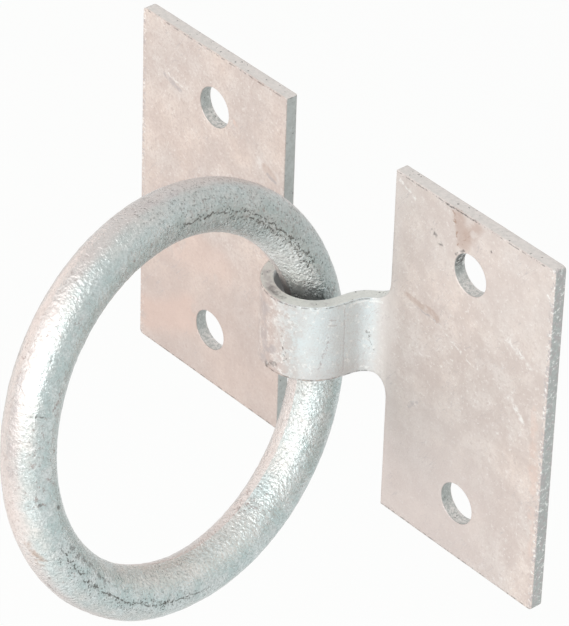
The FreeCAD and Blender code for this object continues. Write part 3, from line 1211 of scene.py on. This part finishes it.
    def wear_rim(self, coat: Coat) -> None:
        """Lays a dark line along the top and bottom edges, and nicks and dents along the outer ones.

        Args:
            coat: the coat of a zone.
        """
        finish = self.finish
        across, _, up = coat.parts(coat.own)
        along = coat.unsigned(across)
        narrow = coat.maths("LESS_THAN", along, self.half_strap - self.notch_radius)
        top = coat.between(narrow, self.half_height, self.strap_height / 2)
        below_top = coat.maths("SUBTRACT", coat.maths("SUBTRACT", top, 0.35 * MM), coat.unsigned(up))
        line = coat.step(coat.unsigned(below_top), *finish.rim_line_width)
        coat.scatter(Tint.SOOT, coat.own, finish.rim_line, line)
        near = coat.step(coat.maths("SUBTRACT", self.half_length, along), *finish.nick_depth)
        coat.scatter(Tint.WHITE, coat.own, finish.nicks, near)
        coat.scatter(Tint.SHADOW, coat.own, finish.dents, near)


# The ring


@dataclass(frozen=True)
class Seam:
    """The rough seam along the bar's +X side, in degrees along the ring and round the bar.

    Attributes:
        upper: where its upper run starts, is whole, stays whole and ends.
        lower: the same for its lower run.
        upper_middle: where the upper run lies round the bar.
        lower_middle: where the lower run does.
        bends: between which places the upper run moves aside.
        aside: how far it moves.
        groove: where, off its middle, the groove starts and is full.
        line: the same for a black line.
        beside: the same for the pitted zinc beside a line.
        stray: how far the lines stray.
        split: between which places the second line comes near the first.
        apart: how far apart the two are before and after that.
    """

    upper: Band = (80.0, 95.0, 150.0, 165.0)
    lower: Band = (-92.0, -84.0, -24.0, -14.0)
    upper_middle: float = -91.0
    lower_middle: float = -84.0
    bends: Ramp = (118.0, 132.0)
    aside: float = -12.0
    groove: Ramp = (7.0, 1.5)
    line: Ramp = (3.4, 1.2)
    beside: Ramp = (40.0, 5.0)
    stray: float = 34.0
    split: Ramp = (100.0, 112.0)
    apart: tuple[float, float] = (101.0, 11.0)


@dataclass
class WeldedRing:
    """The round ring, bent from a round bar and welded, as it stands in the eye."""

    outer_diameter: float = 100.0 * MM
    wire_diameter: float = 12.2 * MM
    swell: float = 0.2 * MM
    weld_length: float = 30.0 * MM
    weld_below_front: float = math.radians(67.0)
    swing: float = math.radians(5.5)
    droop: float = 2.1 * MM
    setback: float = 1.1 * MM
    round_steps: int = 110
    sector_steps: int = 65
    sectors: int = 12
    seam: Seam = Seam()
    finish: RingFinish = RingFinish()

    def __post_init__(self) -> None:
        """Works out the ring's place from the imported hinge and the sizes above."""
        self.wire = self.wire_diameter / 2
        self.radius = self.outer_diameter / 2 - self.wire
        axis = Vector(HINGE["axis"]).normalized()
        lean = math.atan2(-axis.x, axis.z)
        foot = Vector(HINGE["pos_m"]) - axis * self.droop
        turned = Matrix.Rotation(self.swing, 4, axis) @ Matrix.Rotation(-lean, 4, "Y")
        back = Matrix.Translation((0.0, self.setback - self.radius, 0.0))
        self.stand = Matrix.Translation(foot) @ turned @ back

    def build(self, shared: SharedGroups) -> Piece:
        """Makes the ring and gives it its finish.

        Args:
            shared: the shader groups.

        Returns:
            The ring.
        """
        ring = self.bend_bar()
        self.weld(ring)
        self.roughen(ring)
        ring.matrix_world = self.stand
        apply_place(ring)
        bpy.ops.object.shade_smooth()
        ring.data.materials.append(self.dress(shared))
        return ring

    def bend_bar(self) -> Piece:
        """Spins the bar's section about X into one sector of the ring, and that sector full circle.

        Returns:
            The ring, in its own frame.
        """
        bpy.ops.object.select_all(action="DESELECT")
        bpy.ops.mesh.primitive_circle_add(
            vertices=self.round_steps, radius=self.wire, location=(0.0, -self.radius, 0.0)
        )
        ring = bpy.context.object
        ring.name = "galvanised_round_ring"
        apply_place(ring)
        sector, rest = 2 * math.pi / self.sectors, self.sectors - 1
        spin = partial(bpy.ops.mesh.spin, center=ORIGIN, axis=(1.0, 0.0, 0.0))
        with editing(ring):
            bpy.ops.mesh.select_all(action="SELECT")
            spin(steps=self.sector_steps, angle=sector)
            bpy.ops.mesh.select_all(action="SELECT")
            spin(steps=rest, angle=rest * sector, dupli=True)
        join_points(ring, 0.001 * MM)
        return ring

    def angles(self, place: Vector) -> tuple[float, float]:
        """Gives a place's angles on the ring.

        Args:
            place: a place in the ring's own frame, before it stands in the eye.

        Returns:
            The angle round the ring from its outermost place towards its top, and the angle round the bar
            from its outer rim towards -X.
        """
        out = math.hypot(place.y, place.z)
        return math.atan2(place.z, -place.y), math.atan2(-place.x, out - self.radius)

    def weld(self, ring: Piece) -> None:
        """Swells the bar at its weld.

        Args:
            ring: the ring, in its own frame.
        """
        half_turn = self.weld_length / 2 / self.radius

        def swollen(place: Vector) -> float:
            """Gives the swell's share at a place."""
            off = abs(self.angles(place)[0] + self.weld_below_front) / half_turn
            return (1 + math.cos(math.pi * min(off, 1.0))) / 2

        store_weights(ring, "weld", swollen)
        apply_modifier(ring, "DISPLACE", strength=self.swell, mid_level=0.0, vertex_group="weld")

    def roughen(self, ring: Piece) -> None:
        """Gives the bar the peel of its thick zinc, and the groove of its seam.

        Args:
            ring: the ring, in its own frame.
        """
        store_weights(ring, "seam", self.seam_share)
        sink_surface(ring, Relief.WAVES, 5.0 * MM, 0.10 * MM)
        sink_surface(ring, Relief.DIMPLES, 1.3 * MM, 0.10 * MM)
        sink_surface(ring, Relief.WAVES, 0.9 * MM, 0.14 * MM)
        sink_surface(ring, Relief.WAVES, 0.9 * MM, 0.20 * MM, "seam")

    def seam_share(self, place: Vector) -> float:
        """Gives how deep a place lies in the groove of the seam.

        Args:
            place: a place in the ring's own frame.

        Returns:
            1 in the groove and 0 off it.
        """
        seam = self.seam
        turn, around = (math.degrees(angle) for angle in self.angles(place))
        wander = 3.0 * math.sin(math.radians(7 * turn)) + 2.0 * math.sin(math.radians(17 * turn + 40))
        on_seam = 0.0
        for start, full, still, end in (seam.upper, seam.lower):
            on_seam = max(on_seam, smoothed(turn, start, full) * smoothed(turn, end, still))
        upper_middle = seam.upper_middle + seam.aside * smoothed(turn, *seam.bends)
        middle = seam.lower_middle if turn < 0 else upper_middle
        return on_seam * smoothed(abs(around - middle - wander), *seam.groove)

    def locate(self, along: float, around: float) -> Place:
        """Gives the place on the bar, in the ring's own frame, of two angles in degrees.

        Args:
            along: the angle along the ring.
            around: the angle round the bar.

        Returns:
            The place.
        """
        along, around = math.radians(along), math.radians(around)
        out = self.radius + self.wire * math.cos(around)
        return -self.wire * math.sin(around), -out * math.cos(along), out * math.sin(along)

    def dress(self, shared: SharedGroups) -> bpy.types.Material:
        """Makes the ring's material.

        Args:
            shared: the shader groups.

        Returns:
            The material.
        """
        finish = self.finish
        coat = Coat("galvanised_ring", finish, shared)
        stand = {"Location": self.stand.translation, "Rotation": self.stand.to_euler()}
        coat.own = coat.add("Mapping", {"Vector": coat.place, **stand}, vector_type="TEXTURE")[0]
        turn, around = self.shader_angles(coat)
        skin, fine = coat.skin(coat.place, finish.skin), coat.skin(coat.own, finish.fine)
        coat.colour = finish.bright
        # the bar's +X side gets fewer warm clouds and more teal ones: a painted cool reflection on that side
        painted_cool_side = coat.band(around, finish.cool_reflection_side)
        coat.lay(finish.warm, skin["Cloud"], coat.linear(painted_cool_side, -0.45, 0.55))
        coat.lay(finish.teal, fine["Cloud"], coat.linear(painted_cool_side, 0.50, 0.35))
        coat.scatter(finish.dull, coat.place, finish.pepper)
        above_eye = coat.step(turn, *finish.above_eye)
        underneath = coat.band(turn, finish.underneath)
        # white on the bar's inner side above the eye and underneath: a painted highlight
        whitening = coat.most(coat.product(above_eye, 0.5), coat.product(underneath, 0.2))
        coat.lay(Tint.WHITE, whitening, coat.step(coat.unsigned(around), *finish.inner_side))
        coat.lay(finish.dull, above_eye, coat.step(around, *finish.shaded_side), 0.50)
        coat.lay(finish.dull, skin["Fleck"], 0.5)
        coat.lay(Tint.WHITE, fine["Fleck"], 0.5)
        top = coat.band(turn, finish.top)
        crest = coat.product(top, coat.step(turn, *finish.crest))
        coat.lay(finish.dull, top, 0.26)
        coat.lay(finish.grime, crest, 0.07)
        near_eye = self.lay_rim_reflection_and_dirt(coat, turn, around)
        seam, beside_seam = self.seam_masks(coat, turn, around)
        coat.lay_marks(RING_MARKS, self.locate)
        pits = coat.group(shared.specks, Place=coat.place, Spacing=0.55 * MM, Radius=0.42, Share=0.40)
        share = coat.most(coat.product(beside_seam, 0.75), coat.product(near_eye, 0.5))
        pitted = coat.product(pits["Mask"], coat.most(share, coat.product(crest, 0.42), 0.05))
        coat.lay(finish.pit, pitted)
        coat.lay(finish.pit, seam, 0.9)
        rough = coat.linear(near_eye, 0.1, coat.roughness(skin["Cloud"]))
        calm = coat.band(turn, finish.calm)
        grain = coat.product(skin["Grain"], coat.linear(calm, -0.45, 1.0))
        return coat.close(coat.linear(pitted, 0.3, rough), coat.maths("SUBTRACT", grain, pitted))

    def shader_angles(self, coat: Coat) -> tuple[Socket, Socket]:
        """Gives the same two angles as `angles`, in degrees, for the shader.

        Args:
            coat: the ring's coat.

        Returns:
            The angle along the ring and that round the bar.
        """
        x, y, z = coat.parts(coat.own)
        out = coat.maths("SQRT", coat.maths("ADD", coat.product(y, y), coat.product(z, z)))
        turn = coat.maths("ARCTAN2", z, coat.product(y, -1.0))
        around = coat.maths("ARCTAN2", coat.product(x, -1.0), coat.maths("SUBTRACT", out, self.radius))
        return coat.product(turn, math.degrees(1.0)), coat.product(around, math.degrees(1.0))

    def lay_rim_reflection_and_dirt(self, coat: Coat, turn: Any, around: Any) -> Socket:
        """Lays a warm tint on the outer rim, partly a painted reflection of warm light and partly pink dirt,
        and the crumbs of dirt, which are thickest near the eye and on the rim.

        Args:
            coat: the ring's coat.
            turn: the angle along the ring.
            around: the angle round the bar.

        Returns:
            How near the eye each place is.
        """
        finish = self.finish
        over_eye = coat.product(coat.step(turn, *finish.over_eye), coat.step(around, *finish.eye_side))
        near_eye = coat.most(over_eye, coat.product(coat.step(turn, *finish.under_eye), 0.4))
        rim = coat.step(around, *finish.outer_rim)
        dirty = coat.most(coat.product(near_eye, 0.7), coat.product(rim, 0.45))
        dirty = coat.most(dirty, coat.patches(coat.own, finish.dirt))
        # warm tint on the outer rim: partly a painted reflection of warm light, partly pink dirt
        coat.lay(finish.warm_reflection_and_dirt, rim, 0.65)
        coat.scatter(finish.grime, coat.own, finish.crumbs, coat.linear(dirty, 0.66, 0.05))
        return near_eye

    def seam_masks(self, coat: Coat, turn: Any, around: Any) -> tuple[Any, Any]:
        """Works out the two black lines of the seam, which stray from its groove.

        Args:
            coat: the ring's coat.
            turn: the angle along the ring.
            around: the angle round the bar.

        Returns:
            How far a place lies in a line, and how far beside one.
        """
        seam = self.seam
        upper_middle = coat.linear(coat.step(turn, *seam.bends), seam.aside, seam.upper_middle)
        middle = coat.between(coat.maths("LESS_THAN", turn, 0.0), upper_middle, seam.lower_middle)
        ragged = coat.maths("SUBTRACT", coat.noise(coat.place, 2.2 * MM, 4.0, 0.65), 0.5)
        from_first = coat.linear(ragged, seam.stray, coat.maths("SUBTRACT", around, middle))
        far, near = seam.apart
        apart = coat.linear(coat.step(turn, *seam.split), near - far, far)
        from_second = coat.maths("ADD", from_first, apart)
        off_line = coat.maths("MINIMUM", coat.unsigned(from_first), coat.unsigned(from_second))
        on_seam = coat.most(coat.band(turn, seam.upper), coat.band(turn, seam.lower))
        whole = coat.patches(coat.place, self.finish.breaks)
        line = coat.product(coat.step(off_line, *seam.line), on_seam, whole)
        return line, coat.product(coat.step(off_line, *seam.beside), on_seam)


# The studio


@dataclass(frozen=True)
class Softbox:
    """A large soft lamp that looks at the part.

    Attributes:
        name: its name.
        azimuth: its direction round the part, 0 in front of the wall and 90 at +X, in degrees.
        elevation: its direction above the horizon, in degrees.
        distance: how far away it stands.
        width: its width.
        height: its height.
        glow: how bright its face is, where 1 is the white background.
        tint: its colour.
        lies_flat: whether it lies on its back and shines straight up.
    """

    name: str
    azimuth: float
    elevation: float
    distance: float
    width: float
    height: float
    glow: float
    tint: Colour = (1.0, 1.0, 1.0)
    lies_flat: bool = False


SOFTBOXES = (
    Softbox("front", 13.0, 32.0, 1.2, 2.5, 1.7, 0.88),
    Softbox("front_core", 32.0, 30.0, 1.1, 1.1, 0.9, 0.80),
    Softbox("left", -72.0, 8.0, 1.0, 1.0, 0.8, 0.45, (1.0, 0.78, 0.68)),
    Softbox("low_left", -50.0, -24.0, 0.6, 0.6, 0.6, 0.30, (1.0, 0.76, 0.66), True),
    Softbox("low_right", 30.0, -26.0, 0.5, 0.7, 0.5, 0.45, (1.0, 0.97, 0.94), True),
)
ROOM_TONE = (0.60, 0.64, 0.64)
BACKGROUND = (1.0, 1.0, 0.995)


@dataclass
class Studio:
    """The floor, the lamps, the surroundings and the camera."""

    floor_below: float = 0.25
    floor_size: float = 40.0
    floor_white: float = 0.9
    camera_azimuth: float = 48.3435
    camera_elevation: float = 34.792
    camera_roll: float = 1.8903
    camera_distance: float = 0.99683
    camera_lens: float = 260.175
    aim: Place = (0.1909 * MM, -18.0 * MM, 4.0623 * MM)

    def build(self) -> None:
        """Sets up the whole studio."""
        self.lay_floor()
        for softbox in SOFTBOXES:
            self.hang(softbox)
        self.light_room()
        self.set_camera()
        bpy.context.scene.view_settings.view_transform = "Standard"

    def direction(self, azimuth: float, elevation: float) -> Vector:
        """Gives the direction from the part to a place round it, both angles in degrees."""
        turn, rise = math.radians(azimuth), math.radians(elevation)
        return Vector((math.sin(turn) * math.cos(rise), -math.cos(turn) * math.cos(rise), math.sin(rise)))

    def lay_floor(self) -> None:
        """Lays a wide white floor below the part, which shows its shadow and is clear from beneath."""
        bpy.ops.object.select_all(action="DESELECT")
        bpy.ops.mesh.primitive_plane_add(size=self.floor_size, location=(0.0, 0.0, -self.floor_below))
        floor = bpy.context.object
        floor.name = "floor"
        material = bpy.data.materials.new("white_floor")
        material.use_nodes = True
        graph = Graph(material.node_tree)
        matt = material.node_tree.nodes["Principled BSDF"]
        matt.inputs["Base Color"].default_value = (0.92, 0.92, 0.91, 1.0)
        matt.inputs["Roughness"].default_value = 1.0
        white = graph.add("Emission", {"Color": BACKGROUND, "Strength": 1.0})[0]
        shadowed = graph.add("MixShader", {0: self.floor_white, 1: matt.outputs[0], 2: white})[0]
        room = graph.add("Emission", {"Color": ROOM_TONE, "Strength": 1.0})[0]
        lit = graph.add("MixShader", {0: self.seen(graph), 1: room, 2: shadowed})[0]
        clear = graph.add("BsdfTransparent")[0]
        below = graph.add("NewGeometry")["Backfacing"]
        whole = graph.add("MixShader", {0: below, 1: lit, 2: clear})[0]
        graph.feed(material.node_tree.nodes["Material Output"].inputs["Surface"], whole)
        floor.data.materials.append(material)

    def seen(self, graph: Graph) -> Socket:
        """Gives 1 for the rays that see the white background: those of the camera, of metal and of glass.

        Args:
            graph: the graph that it is worked out in.

        Returns:
            Its socket.
        """
        rays = graph.add("LightPath")
        mirrored = graph.maths("MAXIMUM", rays["Is Glossy Ray"], rays["Is Transmission Ray"])
        return graph.maths("MAXIMUM", rays["Is Camera Ray"], mirrored)

    def hang(self, softbox: Softbox) -> None:
        """Sets up one softbox, turned towards the part or straight up.

        Args:
            softbox: the softbox.
        """
        data = bpy.data.lights.new(softbox.name, "AREA")
        data.shape = "RECTANGLE"
        data.size, data.size_y = softbox.width, softbox.height
        data.energy = softbox.glow * math.pi * softbox.width * softbox.height
        data.color = softbox.tint
        lamp = bpy.data.objects.new(softbox.name, data)
        bpy.context.scene.collection.objects.link(lamp)
        way = self.direction(softbox.azimuth, softbox.elevation)
        lamp.location = Vector(self.aim) + way * softbox.distance
        facing = Vector((0.0, 0.0, 1.0)) if softbox.lies_flat else -way
        lamp.rotation_euler = facing.to_track_quat("-Z", "Y").to_euler()
        lamp.visible_camera = False

    def light_room(self) -> None:
        """Lights the part from all round, against plain white."""
        world = bpy.data.worlds.new("studio")
        bpy.context.scene.world = world
        world.use_nodes = True
        graph = Graph(world.node_tree)
        room = world.node_tree.nodes["Background"]
        graph.feed(room.inputs["Color"], ROOM_TONE)
        white = graph.add("Background", {"Color": BACKGROUND, "Strength": 1.0})[0]
        mixed = graph.add("MixShader", {0: self.seen(graph), 1: room.outputs[0], 2: white})[0]
        graph.feed(world.node_tree.nodes["World Output"].inputs["Surface"], mixed)

    def set_camera(self) -> None:
        """Stands the camera where the photograph was taken from."""
        data = bpy.data.cameras.new("photo_camera")
        data.lens = self.camera_lens
        data.clip_start, data.clip_end = 0.01, 100.0
        camera = bpy.data.objects.new("photo_camera", data)
        bpy.context.scene.collection.objects.link(camera)
        back = self.direction(self.camera_azimuth, self.camera_elevation)
        turn, roll = math.radians(self.camera_azimuth), math.radians(self.camera_roll)
        level = Vector((math.cos(turn), math.sin(turn), 0.0))
        upright = back.cross(level)
        right = level * math.cos(roll) + upright * math.sin(roll)
        up = upright * math.cos(roll) - level * math.sin(roll)
        facing = Matrix((right, up, back)).transposed().to_4x4()
        camera.matrix_world = Matrix.Translation(Vector(self.aim) + back * self.camera_distance) @ facing
        bpy.context.scene.camera = camera


def main() -> None:
    """Builds the plate, the ring and the studio."""
    logging.basicConfig(level=logging.INFO, format="%(name)s: %(message)s")
    shared = SharedGroups()
    for maker, body, node in ((EyePlate(), "plate", "eye_plate"), (WeldedRing(), "ring", "ring")):
        piece = maker.build(shared)
        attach(piece, body)
        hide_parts(node)
        log.info("%s: %d faces", piece.name, len(piece.data.polygons))
    Studio().build()


if __name__ == "__main__":
    main()
